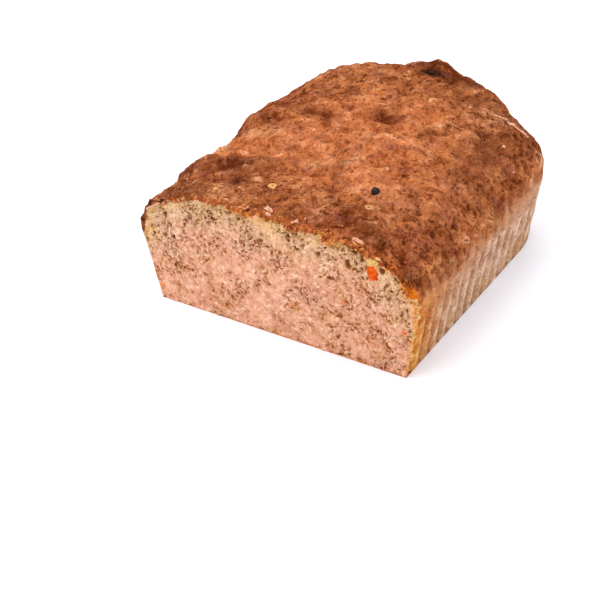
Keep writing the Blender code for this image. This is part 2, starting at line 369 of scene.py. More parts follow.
# %% Pits and fine crags
HOLLOWS = (
    (1.4, 54.8, 4.2, 1.1, 1.2), (11.1, 53.5, 1.8, 1.2, 1.2), (16.1, 49.4, 1.9, 1.5, 1.4),
    (25.4, 10.1, 2.2, 1.1, 1), (38.2, -5.6, 2.2, 1.2, 0.9), (-19.5, 8.8, 2, 1.2, 0.9),
    (13.6, -6.3, 2, 1, 0.8), (1.4, 16, 5.5, 1.6, 1), (11.7, -36.3, 2, 1.4, 0.8),
    (-24, -48.5, 2.2, 1.2, 0.7),
)


def torn_pits(points, size, seed, plenty):
    """0 on whole crust and 1 in a pit: two sizes of bumps, cut off at a level that plenty lowers.

    The points wander first, so the pits are ragged and no two are alike.
    """
    moved = wandering(points, size * 0.8, size * 0.3, seed)
    swells = bumps(moved, size, seed + 5) + 0.55 * bumps(moved, size * 0.5, seed + 6)
    cut_off = 0.86 - 0.55 * plenty
    return ramp(swells, cut_off, cut_off + 0.22)


x, y, z = np.moveaxis(smooth_skin, -1, 0)
roughness = held(0.55 * ramp(x, -0.01, 0.05) + 0.35 * ramp(-y, -0.01, 0.05))
roughness = held(roughness + 0.5 * bumps(smooth_skin, 0.018, 41))
pits = torn_pits(smooth_skin, 0.0040, 31, roughness)
small_pits = torn_pits(smooth_skin, 0.0021, 37, 0.3 + 0.7 * roughness)
hollows = MM * spots(smooth_skin, ABOVE, HOLLOWS)
fine = bumps(smooth_skin, 0.0030, 21) + 0.7 * bumps(smooth_skin, 0.0016, 22)
print("pits cover", round(float((pits > 0.5).mean()) * 100, 1), "% of the grid")

# %% The ledge on the left
LEDGE_X = (-0.0500, -0.0441, -0.0335, -0.0246, -0.0150, -0.0077)
LEDGE_Y = (-0.0330, -0.0330, -0.0320, -0.0300, -0.0256, -0.0197)
LEDGE_HEIGHT, LEDGE_WANDER = 0.0009, 0.0010
before = np.interp(x, LEDGE_X, LEDGE_Y) - y + LEDGE_WANDER * bumps(smooth_skin, 0.007, 141)
on_left = drop(x, -0.024, -0.006)
ledge = ramp(before, -0.0006, 0.0006) * drop(before, 0.002, 0.012) * on_left
print("the ledge stands", LEDGE_HEIGHT / MM, "mm high")

# %% Raise the skin
EXTRA_HUMPS = (
    (47.5, 45.5, 8.5, 9, 1), (40, 49, 4.5, 4.5, 1.3), (6, 57, 6, 4, 1), (59, -7.8, 4, 3.4, 1.4),
    (-55.5, -15.7, 3.4, 3.6, 1),
)
FINE_HEIGHT, PIT_DEPTH, SMALL_PIT_DEPTH, WALL_FINE_HEIGHT = 0.00046, 0.0008, 0.0007, 0.00012
crust = ramp(z, WALL_HEIGHT * 0.75, WALL_HEIGHT * 1.35)
walled = ramp(z, 0.0, WALL_HEIGHT * 0.1)
relief = crust_relief(smooth_skin)
detail = FINE_HEIGHT * fine - PIT_DEPTH * pits - SMALL_PIT_DEPTH * small_pits - hollows
fading = 1 - 0.45 * ramp(y, -0.010, 0.045) + 0.30 * bumps(smooth_skin, 0.016, 133)
grooves = np.where(step >= 1, flute_grooves(turn), 0.0) * np.clip(fading, 0.35, 1.0)
extra = MM * spots(smooth_skin, ABOVE, EXTRA_HUMPS) + LEDGE_HEIGHT * ledge
wall_grain = WALL_GRAIN_HEIGHT * bumps(smooth_skin, WALL_GRAIN_SIZE, 7) + WALL_FINE_HEIGHT * fine
out = crust * (relief + detail + extra)
out += (1 - crust) * (walled * wall_grain - FLUTE_DEPTH * grooves)
shift = facing * out[..., None]
shift[..., 1] *= ramp(y, CUT_Y, CUT_Y + 0.002)
shift[..., 2] *= walled
skin = smooth_skin + shift
print("the crust stands at most", round(float(skin[..., 2].max()) * 1000, 1), "mm above the floor")

# %% [markdown]
# ## What the crust's material reads
#
# The crust is browner at the flanks, the front and the back, and where the loaf leaned on the tray it
# stayed pale. Its pits, hollows and ring holes are painted darker: painted shade in them. Two of the
# pale streaks are painted highlights. Each of these is worked out here as a number from 0 to 1 for every
# point. Smears, burnt specks, pale, dull, tan and amber patches and a line of orange fat at the cut sit
# where this loaf has them: each row of a table is a place, how far it reaches both ways and how strong
# it is.

# %% Places on the skin
SCORCHED = (
    (-34, -39, 7, 5, 0.85), (-24.5, -47, 3.6, 3, 1.0), (-28, 9.6, 7.5, 2.6, 0.9), (-19.5, 8, 4, 3, 0.6),
    (1, 18.2, 8.5, 4, 1.0), (-30, 26.6, 6, 3.6, 0.6), (-44.9, 1.4, 5, 5, 0.6), (22.5, 14, 4, 3, 0.7),
    (37.3, -52.8, 9, 5.2, 0.75), (26.6, -51.2, 5, 3.2, 0.5), (54.3, -32.4, 6, 8, 0.25),
    (49.5, -50, 5, 6, 0.25), (54, -59, 5, 4, 0.8), (11.7, -36.3, 3.6, 2.8, 0.8),
    (-42, -57, 11, 6, 0.78), (45, 20, 9, 7, 0.3), (3, 58.4, 10, 2.2, 1.3), (16, 56, 8, 2.2, 1.2),
    (48, 38, 14, 12, 0.48),
)
UNSCORCHED = ((-36, -15, 18, 8, 1.0),)
BURNT = (
    (2.2, 54.5, 5.4, 1.3, 1.4), (11.1, 53.5, 1.6, 0.9, 0.6), (16, 49.4, 1.8, 1.1, 0.6),
    (-23.8, -47.5, 1.8, 1.3, 0.85),
)
# The first two streaks, on the crown, are painted highlights: a light band and its glints.
PALE_STREAKS = (
    (-39.7, -10.1, 9, 2.2, 1.2), (-34.1, -6.9, 5, 2, 1.2), (-51.8, -17, 4, 4, 0.7),
    (-35.3, -34, 7, 1.8, 0.6), (1.5, -16.7, 12, 5, 0.4), (9.9, -44, 8, 4, 0.35),
    (31.7, -31.8, 13, 8, 0.4), (-18.6, -42, 2.4, 1.6, 1.4), (-19.4, -13, 2.6, 1.4, 1.8),
    (7.5, -13.8, 2, 1.3, 1.8), (-3, -34.7, 2.4, 1.4, 1.8), (-19, 41, 4, 2.2, 0.7),
    (-14.2, 28.2, 3.6, 2.2, 0.7), (26.2, 39.4, 3.6, 2, 0.7), (-21, -57, 10, 5.2, 0.85),
    (-51, -62.2, 5, 0.9, 1.6), (-54.7, -15.7, 3, 3, 1.0), (-29.8, -53.4, 1.4, 3.4, 2.0),
    (40, 40.4, 5, 0.8, 1.5), (47.5, 41.8, 3.6, 0.9, 1.5),
)
TORN = ((50.5, -61.5, 6, 1.8, 0.8), (58, -61.5, 5, 2.4, 1.0))
BROWNER = (
    (-30, -46, 18, 10, 1.0), (-43, -60, 13, 6, 1.2), (44, 28, 12, 12, 0.9), (42, 44, 14, 12, 0.6),
    (-36, -15, 18, 8, -1.0), (28, 50, 24, 12, 0.7), (-10, 56, 20, 8, 0.5), (45, -35, 16, 16, -0.2),
)
DULL = (
    (24, 47, 16, 8, 1.1), (42, 50, 8, 8, 1.0), (2, -26, 6, 3, 0.8), (49, -6, 10, 20, 0.75),
    (44, 20, 12, 12, 0.6),
)
ORANGE_EDGE = ((49, 44, 3, 2, 0.5), (57.5, 38.5, 2.2, 4.6, 0.8), (58.7, 33.5, 1.4, 5, 0.8))
AMBER = (
    (-7.8, 37.3, 2.6, 2.2, 0.55), (-35.7, 35, 1.4, 1.1, 0.7), (-55.6, 34, 1.2, 1, 0.7),
    (-15.7, 40, 3.4, 3, 1.7),
)
TAN_PATCHES = ((-29, -53.5, 1.8, 3.4, 0.9),)
# Dark dots in the holes of the onion rings, and a pit on the right flank: painted shade.
DARK_DOTS = ((-10, -44.6, 0.4, 0.4, 1.5), (28.1, -40.2, 0.5, 0.5, 1.5), (11.2, 38.6, 0.5, 0.4, 1.5))
SCAR = ((-8.6, 36, 1.2, 0.9, 1.2),)
print(len(SCORCHED + BURNT + PALE_STREAKS), "smears, burnt specks and pale streaks")

# %% Where the skin is brown, scorched or pale
skin_x, skin_y, skin_z = np.moveaxis(skin, -1, 0)
place = wandering(skin, 0.0045, 0.0022, 51)
past_ledge = ramp(-before, -0.0002, 0.0010) * drop(-before, 0.005, 0.012) * drop(x, -0.016, 0.004)
scorch = spots(place, ABOVE, SCORCHED)
scorch += 0.5 * ramp(bumps(skin, 0.013, 61) + 0.5 * bumps(skin, 0.006, 62), 0.25, 0.80)
scorch += 0.4 * ramp(before, -0.0004, 0.0008) * drop(before, 0.005, 0.015) * on_left
scorch *= (1 - 0.9 * past_ledge) * (1 - held(spots(skin, ABOVE, UNSCORCHED)))
flank = ramp(np.abs(skin_x - 0.004), 0.014, 0.046)
front = ramp(-skin_y, 0.026, 0.048)
behind = ramp(skin_y, 0.018, 0.052)
brown = 1 - (1 - 0.82 * flank) * (1 - 0.88 * front) * (1 - 0.85 * behind)
brown += spots(skin, ABOVE, BROWNER) - 0.7 * past_ledge
brown += 0.35 * bumps(skin, 0.019, 67) + 0.18 * bumps(skin, 0.008, 68)
pale = spots(place, ABOVE, PALE_STREAKS)
pale += 0.7 * ramp(bumps(skin, 0.009, 63) + 0.5 * bumps(skin, 0.004, 64), 0.35, 0.8)

# %% Where the crust ends: the wall below it and the cut before it
BAKED_FROM = 0.0325
from_cut = skin_y - CUT_Y
near_cut = np.exp(-((from_cut / 0.020) ** 2))
line = BAKED_FROM + 0.0030 * near_cut + 0.0035 * (0.4 - grooves)
line += 0.0030 * bumps(skin, 0.009, 65) + 0.0016 * bumps(skin, 0.0030, 66)
baked = ramp(skin_z, line - 0.0045, line + 0.0030)
frayed = from_cut + 0.0014 * bumps(skin, 0.0040, 69) + 0.0008 * bumps(skin, 0.0018, 70)
torn = drop(frayed, 0.0008, 0.0030) * drop(-skin_x, 0.022, 0.030) + spots(place, ABOVE, TORN)
on_right = ramp(skin_x, 0.040, 0.050)
dots = spots(skin, ABOVE, DARK_DOTS) + spots(skin, ASIDE, SCAR) * on_right
orange_edge = spots(skin, AHEAD, ORANGE_EDGE) * np.exp(-((from_cut / 0.0028) ** 2))
amber = spots(skin, ASIDE, AMBER[:3]) * on_right + spots(skin, ABOVE, TAN_PATCHES)
amber += spots(skin, ASIDE, AMBER[3:]) * ramp(-skin_x, 0.046, 0.050)
print("the crust covers", round(float((baked > 0.5).mean()) * 100), "% of the grid")

# %% Masks of the skin
# The rise mask paints the crust lighter where it stands higher and darker where it lies lower: painted
# light and shade.
small_relief = detail + 0.5 * (relief - MM * spots(smooth_skin, ABOVE, HUMPS))
skin_masks = {
    "amber": held(amber),
    "baked": baked,
    # The pit mask paints the pits, the hollows and the ring holes darker: painted shade.
    "pit": held(pits + 0.8 * small_pits + dots + 0.5 * ramp(hollows, 0.0003, 0.001)) * crust,
    "scorch": held(scorch),
    "burnt": held(spots(skin, ABOVE, BURNT)) * crust,
    "brown": held(brown),
    "pale": held(pale),
    "near_cut": near_cut,
    "dull": held(spots(skin, ABOVE, DULL)),
    "torn": held(torn) * crust,
    "orange": held(orange_edge),
    "groove": grooves,
    "rise": held(0.5 + small_relief / 0.0024),
    "height": skin_z / 0.06,
}
print("masks of the skin:", ", ".join(skin_masks))

# %% [markdown]
# ## The skin as one closed piece
#
# The grid is open where the knife went through. The skin is closed there by a step back into the
# loaf and a fan of triangles to one middle point. The crumb covers that step later, so the lid is
# never seen, but the piece stays a closed body. The slab of the cut is closed in the same way.

# %% Close the skin behind the cut
def closed_piece(name, face, edge, depth, pull, masks, middle_mask):
    """A piece from an open grid: its edge ring, stepped back by depth, and a fan to the middle.

    The step draws the ring towards the middle point by a share, pull. The ring keeps the masks
    of the edge, and the middle point has one number of its own for all of them.
    """
    rows, columns = face.shape[:2]
    places = face.reshape(-1, 3)
    middle = np.array([0.0, CUT_Y + depth, 0.5 * level.max()])
    ring = places[edge] + pull * (middle - places[edge])
    ring[:, 1] = CUT_Y + depth
    inner = rows * columns + np.arange(len(edge))
    points = np.concatenate([places, ring, middle[None]])
    step_back = strip_triangles(edge, inner)[:, ::-1]
    lid = fan_triangles(inner, len(points) - 1)[:, ::-1]
    triangles = np.concatenate([grid_triangles(rows, columns), step_back, lid])
    closed_masks = {}
    for key, values in masks.items():
        values = values.reshape(-1)
        closed_masks[key] = np.concatenate([values, values[edge], [middle_mask]])
    return make_piece(name, points, triangles, closed_masks)


def numbered(face):
    """The number of each point of a grid, row by row."""
    return np.arange(face[..., 0].size).reshape(face.shape[:2])


LID_DEPTH, LID_PULL = 0.0035, 0.02
number = numbered(skin)
front_edge = np.concatenate([number[:, 0], number[-2:0:-1, -1]])
crust_piece = closed_piece("pate_crust", skin, front_edge, LID_DEPTH, LID_PULL, skin_masks, 0.0)

# %% [markdown]
# ## The cut
#
# The knife left a coarse, crumbly face. It is a sheet stretched between its four edges: the
# underside, the two sides and the top of the dome. Each point is the mean of the two straight
# blends between facing edges, less the blend of the four corners. Onto this sheet come swells of
# mince two to five millimetres across with thin strands that meander over them, a fluff of fine
# crumbs, small pits where crumbs fell out, and some larger holes, most of them below the crust.

# %% Stretch a sheet between the edges
CUT_COLUMNS, CUT_ROWS = 384, 172
SHOULDER_STEP = 2.46


def resampled(curve, count):
    """The same curve with count points, evenly spaced along it."""
    along = np.linalg.norm(np.diff(curve, axis=0), axis=1).cumsum()
    along = np.concatenate([[0.0], along])
    wanted = np.linspace(0.0, along[-1], count)
    return np.stack([np.interp(wanted, along, curve[:, k]) for k in range(3)], axis=-1)


base = UNDERSIDE_STEPS
rim = base + WALL_STEPS
shoulder = rim + int(np.argmin(np.abs(step_values[rim:] - SHOULDER_STEP)))
right_edge, left_edge = skin[:, 0], skin[:, -1]
bottom = np.concatenate([left_edge[base:0:-1], right_edge[: base + 1]])
top_edge = np.concatenate([left_edge[shoulder:], right_edge[shoulder:-1][::-1]])
bottom = resampled(bottom, CUT_COLUMNS)
top_edge = resampled(top_edge, CUT_COLUMNS)
left_edge = resampled(left_edge[base : shoulder + 1], CUT_ROWS)
right_edge = resampled(right_edge[base : shoulder + 1], CUT_ROWS)
across = np.linspace(0, 1, CUT_COLUMNS)[None, :, None]
up = np.linspace(0, 1, CUT_ROWS)[:, None, None]
sheet = (1 - up) * bottom + up * top_edge
sheet += (1 - across) * left_edge[:, None] + across * right_edge[:, None]
sheet -= (1 - up) * ((1 - across) * bottom[0] + across * bottom[-1])
sheet -= up * ((1 - across) * top_edge[0] + across * top_edge[-1])
print("the cut is", round(float(np.ptp(sheet[..., 0])) * 1000, 1), "mm wide")

# %% How far each point is from the crust
outline = np.concatenate([left_edge, top_edge, right_edge[::-1]])[::3]
browned = outline[outline[:, 2] > 0.030]


def distance_to(points, curve):
    """Distance from each point of a grid to the nearest point of a curve, one row at a time."""
    rows = [np.linalg.norm(row[:, None] - curve[None], axis=-1).min(axis=1) for row in points]
    return np.stack(rows)


from_edge = distance_to(sheet, outline)
from_crust = distance_to(sheet, browned)
print("the middle of the cut lies", round(float(from_edge.max()) * 1000, 1), "mm from its edge")

# %% Strands, pits and holes of the crumb
HOLES = (
    (-47.9, 39.7, 1, 1.3, 1.0), (-46, 35.9, 1.4, 0.8, 0.9), (-38.6, 39.6, 1.3, 1, 0.7),
    (-45.3, 30.2, 0.9, 1.1, 0.8), (-25.8, 44.1, 1.3, 0.6, 0.9), (-18.5, 49.5, 1.2, 0.6, 1.0),
    (7.4, 46.3, 1.2, 0.8, 1.0), (9.9, 42.2, 1.6, 1, 0.9), (31.8, 42.2, 1.4, 1.7, 1.2),
    (34.6, 48.2, 1.6, 1, 1.0), (37.9, 46.8, 0.7, 1.6, 1.0), (19.7, 43, 0.9, 1.5, 0.7),
    (37.9, 38.1, 0.7, 1, 0.9), (23.9, 33.6, 1.2, 0.8, 0.8), (56.1, 36.4, 0.8, 0.8, 0.8),
    (45.7, 43.6, 0.9, 1.5, 1.3), (58.4, 34.4, 0.8, 1.2, 0.9), (-12, 25, 1, 0.6, 0.5),
    (20, 33, 1.2, 0.7, 0.6),
)
CARROT_BED = ((42, 41.5, 2.2, 3, 1.6), (42.5, 46.2, 2.2, 1, 1.2))
TOP_LEFT = ((-45, 40, 18, 10, 0.4),)


def strands(points, size, seed):
    """1 along thin ridges that meander and 0 between them: 1 less the height of bumps, either way."""
    return 1.0 - np.minimum(2.6 * np.abs(bumps(points, size, seed)), 1.0)


wandered = wandering(sheet, 0.0030, 0.0008, 71)
mince = np.maximum(strands(wandered, 0.0034, 75), 0.9 * strands(wandered, 0.0027, 76))
fluff = bumps(sheet, 0.0015, 85) + 0.7 * bumps(sheet, 0.0009, 86)
swell = bumps(sheet, 0.0050, 11) + 0.8 * bumps(sheet, 0.0026, 12)
crumbliness = 0.50 + 0.8 * bumps(sheet, 0.0085, 92) + 0.6 * drop(from_crust, 0.004, 0.022)
crumbliness = np.clip(crumbliness, 0.35, 1.20)
top_left = spots(sheet, AHEAD, TOP_LEFT)
openness = 0.02 + 0.7 * bumps(sheet, 0.010, 91) + 0.5 * drop(from_crust, 0.003, 0.016) + top_left
fallen = torn_pits(sheet, 0.0027, 93, openness)
fallen_small = torn_pits(sheet, 0.0015, 97, openness)
holes = np.clip(spots(sheet, AHEAD, HOLES), 0, 1.2)

# %% Raise the crumb
SWELL_HEIGHT, STRAND_HEIGHT, FLUFF_HEIGHT = 0.0008, 0.0004, 0.0008
FALLEN_DEPTH, SMALL_FALLEN_DEPTH, HOLE_DEPTH = 0.0009, 0.0006, 0.0016
CRUMB_SINK = 0.0005
crumb_relief = SWELL_HEIGHT * swell + crumbliness * (STRAND_HEIGHT * mince + FLUFF_HEIGHT * fluff)
crumb_relief -= FALLEN_DEPTH * fallen + SMALL_FALLEN_DEPTH * fallen_small
crumb_relief -= HOLE_DEPTH * ramp(holes, 0.2, 0.9)
crumb_relief *= 1 - held(spots(sheet, AHEAD, CARROT_BED))
settled = ramp(from_edge, 0.0, 0.0012)
crumb_face = sheet.copy()
crumb_face[..., 1] -= settled * (crumb_relief - CRUMB_SINK)
lowest, highest = (float(value) * 1000 for value in (crumb_relief.min(), crumb_relief.max()))
print("the crumb's relief runs from", round(lowest, 2), "mm to", round(highest, 2), "mm")

# %% Masks of the crumb
ORANGE_FAT = (
    (50, 46.2, 4.4, 2, 1.2), (55.8, 39.8, 2.4, 4.8, 1.1), (59, 30, 1, 6, 0.8), (42, 49.5, 4, 0.8, 0.7),
    (24, 49, 3, 1.6, 0.8), (59, 20, 0.8, 8, 0.8), (-12, 50.5, 6, 1, 0.6), (-54.2, 5, 0.9, 1.8, 0.8),
    (-57.7, 26.3, 0.6, 2, 0.6),
)
LIGHTER_LUMP = ((29.6, 39.7, 5.0, 3.4, 0.30),)
RIND_ALONG = (-0.060, -0.030, 0.000, 0.016, 0.030, 0.060)
RIND_THICK = (0.0021, 0.0012, 0.0014, 0.0010, 0.0006, 0.0010)
EDGE_REACH = 0.02
sheet_x, _, sheet_z = np.moveaxis(sheet, -1, 0)
thick = np.interp(sheet_x, RIND_ALONG, RIND_THICK)
frayed = from_crust + 0.0010 * bumps(sheet, 0.0034, 121) + 0.0006 * bumps(sheet, 0.0015, 122)
rind = drop(frayed, thick - 0.0004, thick + 0.0004)
fat = drop(frayed + 0.0010 * bumps(sheet, 0.0060, 123), thick + 0.0004, thick + 0.0045)
lighter = top_left - 0.20 * ramp(sheet_x, 0.010, 0.045) + 0.25 * drop(from_crust, 0.004, 0.018)
lighter += spots(sheet, AHEAD, LIGHTER_LUMP)
low_right = drop(sheet_z, 0.030, 0.036) * ramp(sheet_z, 0.000, 0.014) * ramp(sheet_x, 0.030, 0.050)
crumb_masks = {
    "from_crust": held(from_crust / EDGE_REACH),
    "from_edge": held(from_edge / EDGE_REACH),
    "rind": rind,
    "fat": fat,
    # The pit mask paints the crumb's pits and holes dark: painted shade.
    "pit": held(0.8 * fallen + 0.6 * fallen_small + 1.15 * ramp(holes, 0.15, 0.72)),
    "loose": crumbliness,
    "side": low_right,
    "left_rind": rind * drop(sheet_x, -0.0575, -0.0505),
    # Swell and fluff make raised crumb lighter and low crumb darker: painted light and shade.
    "tone": held(0.5 + 0.6 * swell + 0.5 * fluff + lighter),
    "orange": held(spots(sheet, AHEAD, ORANGE_FAT)),
}

# %% Close the slab behind the cut
SLAB_DEPTH, SLAB_PULL = 0.0060, 0.05
number = numbered(crumb_face)
slab_edge = np.concatenate([number[0, :-1], number[:-1, -1], number[-1, :0:-1], number[:0:-1, 0]])
crumb_piece = closed_piece(
    "pate_crumb", crumb_face, slab_edge, SLAB_DEPTH, SLAB_PULL, crumb_masks, 1.0
)

# %% [markdown]
# ## Bits in the crust and in the cut
#
# Small things went into the mince: carrot dice, herbs, fat, onion and peppercorns. Each kind is
# one piece, made of many small closed lumps. A lump is a sphere with its corners pushed out, so
# that one exponent turns it from a pea into a die, and noise makes each one different. Shreds of
# mince hang on the rim of the cut as the same kind of lump, and baked-in onion shows as rings.
# Each lump also carries one number, *faded*, which picks its colour. Places and sizes of the
# bits are in millimetres.

# %% Lumps along a list of places
def lump_grid(around, up, squareness):
    """A unit lump: sine and cosine raised to a power, so 1 is a ball and less is a box.

    x = c(v) c(u), y = c(v) s(u), z = s(v), with c and s the cosine and sine to that power.
    """
    u = np.linspace(-math.pi, math.pi, around)[None, :]
    v = np.linspace(-math.pi / 2, math.pi / 2, up)[:, None]

    def powered(wave):
        return np.sign(wave) * np.abs(wave) ** squareness

    flat = powered(np.cos(v))
    z = powered(np.sin(v)) * np.ones_like(u)
    grid = np.stack([flat * powered(np.cos(u)), flat * powered(np.sin(u)), z], axis=-1)
    grid[0], grid[-1] = (0, 0, -1), (0, 0, 1)
    grid[:, -1] = grid[:, 0]
    return grid


def seats(grid, normals, seen, places):
    """The nearest grid point to each wanted place, and a frame of three directions there.

    seen names the two axes that the places are measured along. The frame's third direction
    is the surface's own.
    """
    spread, ways = grid.reshape(-1, 3), normals.reshape(-1, 3)
    wanted = MM * np.array([place[:2] for place in places])
    gap = np.linalg.norm(spread[None][..., seen] - wanted[:, None], axis=-1)
    nearest = gap.argmin(axis=1)
    upward = ways[nearest]
    sideways = np.cross(upward, (0.3, 0.9, 0.3))
    sideways /= np.linalg.norm(sideways, axis=-1, keepdims=True)
    return spread[nearest], np.stack([sideways, np.cross(upward, sideways), upward], axis=-1)


def on_dome(places):
    """Seats on the crust, for places seen from above."""
    return seats(skin[rim:], facing[rim:], ABOVE, places)


def on_cut(places):
    """Seats on the cut, for places seen from ahead."""
    return seats(crumb_face, np.broadcast_to((0.0, -1.0, 0.0), crumb_face.shape), AHEAD, places)


def both(first, second):
    """Two lots of seats as one."""
    return [np.concatenate(pair) for pair in zip(first, second)]


def scatter_lumps(name, grid, seated, sizes, turns, sink, rough, seed, faded=None):
    """One piece from copies of a lump grid, each with its own seat, size and turn.

    sink sets each copy into the surface by a share of its height, and rough is how far the
    noise moves its points, as a share of their distance from its middle.
    """
    centres, frames = seated
    count, (rows, columns) = len(centres), grid.shape[:2]
    spin = np.zeros((count, 3, 3))
    spin[:, 0, 0] = spin[:, 1, 1] = np.cos(turns)
    spin[:, 1, 0], spin[:, 0, 1] = np.sin(turns), -np.sin(turns)
    spin[:, 2, 2] = 1.0
    sizes = MM * np.asarray(sizes)
    local = np.einsum("nij,nrcj->nrci", frames @ spin, grid[None] * sizes[:, None, None, :])
    places = centres - frames[..., 2] * (sizes[:, 2] * sink)[:, None]
    points = places[:, None, None] + local
    points = points + local * (rough * bumps(points, float(sizes.max()) * 0.9, seed))[..., None]
    starts = (np.arange(count) * rows * columns)[:, None, None]
    triangles = (grid_triangles(rows, columns)[None] + starts).reshape(-1, 3)
    faded = np.zeros(count) if faded is None else np.asarray(faded, dtype=float)
    return make_piece(name, points, triangles, {"faded": np.repeat(faded, rows * columns)})


# %% Carrot dice in the cut
CARROT = (
    (42, 40.6, 2.6, 3.8, 1.2, 0.785, 0.0), (54.1, 19.7, 0.9, 1, 0.6, 0.2, 0.35),
    (28.8, 24.5, 0.9, 1.2, 0.5, 0.7, 0.7), (6.2, 16, 1, 0.8, 0.5, 0.4, 0.85),
    (6.9, 49.3, 0.7, 1.3, 0.6, 0.7, 0.25),
)
CARROT = np.array(CARROT)
die = lump_grid(41, 27, 0.75)
die[..., [0, 2]] *= 1.0 - 0.55 * ramp(die[..., 1:2], -0.4, 1.0)
carrot_piece = scatter_lumps(
    "carrot_dice", die, on_cut(CARROT), CARROT[:, 2:5], CARROT[:, 5], 0.25, 0.14, 101, CARROT[:, 6]
)

# %% Herb flecks in the cut
SPRIG = (((39.2, 31.2), (45.2, 32.6), 9), ((40.6, 29.6), (44.6, 30.7), 6))
LONE_HERBS, LOOSE_HERBS = ((-34.6, 27.0), (-19.0, 49.0), (26.0, 47.0), (-12.0, 30.0)), 8
rng = np.random.default_rng(7)
sprig = np.concatenate([np.linspace(start, end, dots) for start, end, dots in SPRIG])
sprig += rng.uniform(-0.4, 0.4, sprig.shape)
loose = [rng.uniform(-50, 54, LOOSE_HERBS), rng.uniform(4, 46, LOOSE_HERBS)]
herb_places = np.concatenate([sprig, LONE_HERBS, np.transpose(loose)])
count = len(herb_places)
lengths, widths = rng.uniform(0.3, 0.8, count), rng.uniform(0.15, 0.3, count)
herb_sizes = np.stack([lengths, widths, np.full(count, 0.3)], axis=-1)
herb_piece = scatter_lumps(
    "herb_flecks", lump_grid(13, 9, 0.9), on_cut(herb_places), herb_sizes,
    rng.uniform(0, math.pi, count), 0.0, 0.5, 103,
)

# %% Pale bits: where they lie
# The cluster of tiny bits at -34.1, -6.9 stands for glints: painted highlights.
PALE_CLUSTERS = (
    (-4, -57.2, 1.2, 1, 8, 0.88), (-2.2, -60, 1.1, 0.9, 6, 0.84), (8, -59.2, 1.1, 0.9, 6, 0.8),
    (-19.5, -60.6, 1.8, 1, 6, 0.5), (-12.5, -60.4, 2, 1.2, 5, 0.45), (-19, 40, 1.6, 1, 4, 0.3),
    (26.2, 39.4, 1.6, 1, 3, 0.3), (-34.1, -6.9, 2.2, 1.2, 9, 0.22), (35.8, 30.2, 2, 1.4, 8, 0.22),
)
# The single bit at -34.1, -6.9 is a painted glint.
PALE_SINGLES = (
    (12.6, 4.5, 0.5, 0.4, 0.3), (-11.2, 17, 0.6, 0.4, 0.3), (48.1, 26.2, 0.6, 0.5, 0.4),
    (35.7, -12.4, 0.5, 0.4, 0.3), (-34.1, -6.9, 0.4, 0.4, 0.3), (-3, -34.7, 0.4, 0.4, 0.3),
    (10.9, -56, 0.5, 0.4, 0.4), (-48, -34.5, 0.7, 0.4, 0.3), (-47.7, -47.5, 0.5, 0.4, 0.3),
    (15.9, -17.6, 0.5, 0.4, 0.3),
)
PALE_LINES = (
    (35.8, 40.8, 44, 40.2, 12, 0.42), (44, 40.2, 50, 42.4, 14, 0.54), (44.6, 40.5, 47.2, 41.3, 8, 0.8),
)
PALE_RIM = (34.1, -58.8, 1.7, 14, 0.55)
PALE_PLATES = ((34.1, -58.8, 2, 2, 0.8, 0.27), (-18.6, -42.5, 1.7, 1.2, 0.4, 0.5))
PALE_ON_CUT = ((41, 46.2, 2, 1.4, 1.1), (43.4, 46.5, 1.7, 1.3, 1.1), (-56.4, 30.3, 1.4, 1.1, 0.8))
PINK_STRIP = ((-55.4, 40.5), (-51.0, 43.5), (-46.0, 46.1))
PINK_COUNT, PINK_SIZE, PINK_TONE = 12, 0.52, 0.16
PALE_SINK = 0.45


def bit(x_place, y_place, size, least, most):
    """A row of a table of bits: its place, and three sizes drawn between two shares of one."""
    return (x_place, y_place, *(size * rng.uniform(least, most, 3)))


# %% Pale bits: onion, fat and painted glints in the crust and in the cut
pale_bits = []
for middle_x, middle_y, reach_x, reach_y, many, size in PALE_CLUSTERS:
    spread_x = middle_x + reach_x * rng.uniform(-1, 1, many)
    spread_y = middle_y + reach_y * rng.uniform(-1, 1, many)
    pale_bits += [bit(*pair, size, 0.6, 1.3) for pair in zip(spread_x, spread_y)]
for start_x, start_y, end_x, end_y, many, size in PALE_LINES:
    for x_place, y_place in np.linspace((start_x, start_y), (end_x, end_y), many):
        shift_x, shift_y = rng.uniform(-0.5, 0.5, 2) * size
        pale_bits.append(bit(x_place + shift_x, y_place + shift_y, size, 0.6, 1.4))
middle_x, middle_y, reach, many, size = PALE_RIM
for angle in np.linspace(0, 2 * math.pi, many, endpoint=False):
    x_place, y_place = middle_x + reach * math.cos(angle), middle_y + reach * math.sin(angle)
    pale_bits.append(bit(x_place, y_place, size, 0.7, 1.2))
pale_bits += PALE_SINGLES
plates = [plate[:5] for plate in PALE_PLATES]
cut_bits = list(PALE_ON_CUT)
for start, end in zip(PINK_STRIP, PINK_STRIP[1:]):
    cut_bits += [bit(*spot, PINK_SIZE, 0.7, 1.3) for spot in np.linspace(start, end, PINK_COUNT)]
pale_sizes = [row[2:5] for row in pale_bits + plates + cut_bits]
faded = [*rng.uniform(0.0, 0.4, len(pale_bits)), *(plate[5] for plate in PALE_PLATES)]
faded += [1.0] * len(PALE_ON_CUT) + [PINK_TONE] * (len(cut_bits) - len(PALE_ON_CUT))
sinks = np.full(len(pale_sizes), PALE_SINK)
sinks[len(pale_bits) : len(pale_bits + plates)] = 0.0
pale_piece = scatter_lumps(
    "pale_bits", lump_grid(19, 13, 0.85), both(on_dome(pale_bits + plates), on_cut(cut_bits)),
    pale_sizes, rng.uniform(-0.8, 0.8, len(pale_sizes)), sinks, 0.35, 107, faded,
)

